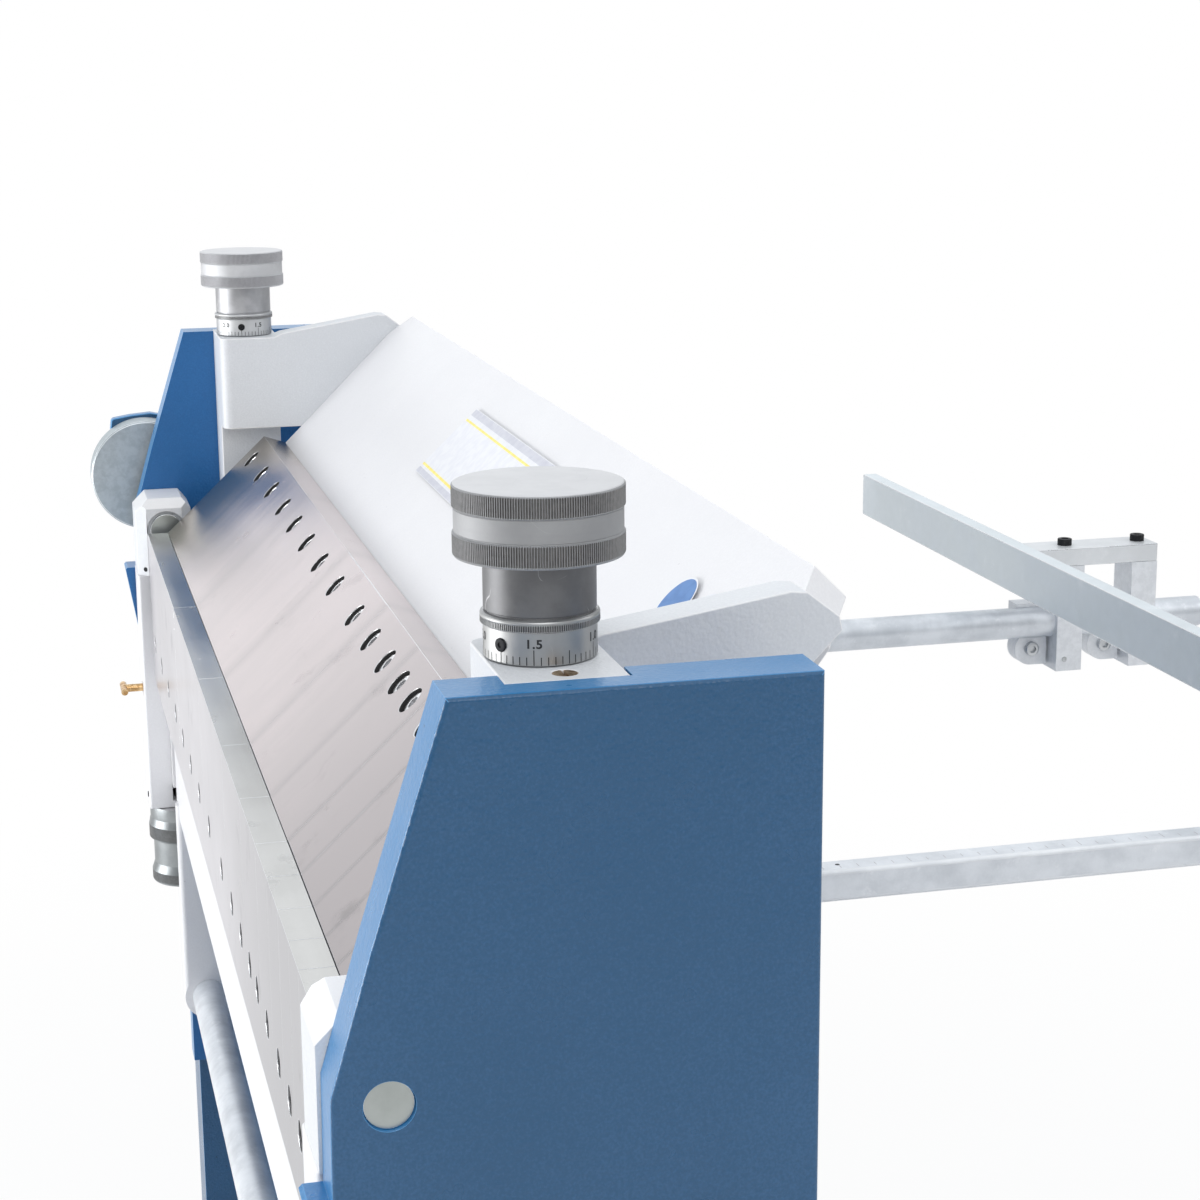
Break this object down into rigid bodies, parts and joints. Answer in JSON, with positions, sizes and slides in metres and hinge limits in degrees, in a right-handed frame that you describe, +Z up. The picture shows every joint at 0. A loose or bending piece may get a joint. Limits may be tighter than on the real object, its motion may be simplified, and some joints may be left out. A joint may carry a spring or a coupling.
{
  "type": "box and pan brake",
  "caption": "Floor-standing foot-clamped sheet metal folder with removable fingers on a sloping clamping beam, a hand-swung segmented bending beam, screw adjusters and a back gauge.",
  "frame": {"origin": "on the floor, in the middle of the four foot bolt holes", "axes": "+X along the fold to the operator's right, +Y away from the operator, +Z up"},
  "size_m": [1.3368, 1.002, 1.1229],
  "materials": {
    "blue_paint": "satin",
    "white_paint": "satin",
    "tool_steel": "ground",
    "zinc_steel": "zinc plated",
    "bright_knob": "turned and knurled",
    "black_oxide": "black oxide",
    "grey_cast": "painted",
    "brass": "bare",
    "rubber": "ribbed"
  },
  "bodies": {
    "stand": {"side_frame_left": "blue_paint", "side_frame_right": "blue_paint", "leg_left": "blue_paint", "leg_right": "blue_paint", "cross_panel": "blue_paint", "cross_tie": "blue_paint", "frame_bolts": "zinc_steel", "bed": "blue_paint", "bed_blade": "tool_steel", "bed_screws": "black_oxide", "shaft_bearings": "grey_cast", "gauge_rods": "zinc_steel"},
    "clamp": {"clamp_beam": "white_paint", "beam_end_left": "white_paint", "beam_end_right": "white_paint", "finger_screws": "black_oxide", "plug_screws": "brass", "draw_rods": "zinc_steel", "finger_270": "tool_steel", "finger_200": "tool_steel", "finger_150": "tool_steel", "finger_100": "tool_steel", "finger_75": "tool_steel", "finger_50": "tool_steel", "finger_45": "tool_steel", "finger_40": "tool_steel", "finger_35": "tool_steel", "finger_30": "tool_steel", "finger_25": "tool_steel"},
    "knob_left": {"top_knob_left": "bright_knob", "scale_collar_left": "bright_knob"},
    "knob_right": {"top_knob_right": "bright_knob", "scale_collar_right": "bright_knob"},
    "pedal": {"pedal_shaft": "zinc_steel", "crank_left": "zinc_steel", "crank_right": "zinc_steel", "pedal_frame": "blue_paint", "tread_pad": "rubber", "counterweight": "grey_cast"},
    "arms": {"pivot_block_left": "white_paint", "pivot_block_right": "white_paint", "arm_housing_left": "white_paint", "arm_housing_right": "white_paint", "pivot_pins": "tool_steel", "stop_disc": "tool_steel", "disc_arm": "blue_paint"},
    "bending": {"bending_beam": "white_paint", "blade_segments": "tool_steel", "blade_screws": "black_oxide", "handle_bar": "zinc_steel"},
    "low_left": {"lower_knob_left": "bright_knob"},
    "low_right": {"lower_knob_right": "bright_knob"},
    "lock_left": {"lock_screw_left": "brass"},
    "lock_right": {"lock_screw_right": "brass"},
    "gauge": {"stop_bar": "zinc_steel", "gauge_arms": "zinc_steel", "gauge_carriages": "zinc_steel", "clamp_screws": "black_oxide", "arm_bolts": "black_oxide"}
  },
  "joints": [
    {"name": "clamp_lift", "type": "slide", "parent": "stand", "child": "clamp", "axis": [0, 0, 1], "range_m": [0, 0.045]},
    {"name": "pedal_swing", "type": "hinge", "parent": "stand", "child": "pedal", "pos_m": [0, 0.05567, 0.2], "axis": [1, 0, 0], "range_deg": [-28.98, 0]},
    {"name": "knob_left_turn", "type": "hinge", "parent": "clamp", "child": "knob_left", "pos_m": [-0.544, -0.0329, 1.0755], "axis": [0, 0, 1], "range_deg": [-360, 360]},
    {"name": "knob_right_turn", "type": "hinge", "parent": "clamp", "child": "knob_right", "pos_m": [0.544, -0.0329, 1.0755], "axis": [0, 0, 1], "range_deg": [-360, 360]},
    {"name": "bend", "type": "hinge", "parent": "stand", "child": "arms", "pos_m": [0, -0.1045, 0.901], "axis": [-1, 0, 0], "range_deg": [0, 135]},
    {"name": "beam_height", "type": "slide", "parent": "arms", "child": "bending", "axis": [0, 0, 1], "range_m": [-0.01, 0]},
    {"name": "low_left_turn", "type": "hinge", "parent": "arms", "child": "low_left", "pos_m": [-0.54, -0.1, 0.6255], "axis": [0, 0, 1], "range_deg": [-1440.5, 0.5]},
    {"name": "low_right_turn", "type": "hinge", "parent": "arms", "child": "low_right", "pos_m": [0.54, -0.1, 0.6255], "axis": [0, 0, 1], "range_deg": [-1440.5, 0.5]},
    {"name": "lock_left_turn", "type": "hinge", "parent": "arms", "child": "lock_left", "pos_m": [-0.545, -0.1273, 0.7645], "axis": [0, 1, 0], "range_deg": [-180, 0]},
    {"name": "lock_right_turn", "type": "hinge", "parent": "arms", "child": "lock_right", "pos_m": [0.545, -0.1273, 0.7645], "axis": [0, 1, 0], "range_deg": [-180, 0]},
    {"name": "gauge_slide", "type": "slide", "parent": "stand", "child": "gauge", "axis": [0, 1, 0], "range_m": [-0.43, 0.04]}
  ],
  "couplings": [
    {"joint": "pedal_swing", "follows": "clamp_lift", "rad_per_m": -11.23},
    {"joint": "low_left_turn", "follows": "beam_height", "rad_per_m": 2513.3},
    {"joint": "low_right_turn", "follows": "beam_height", "rad_per_m": 2513.3}
  ]
}
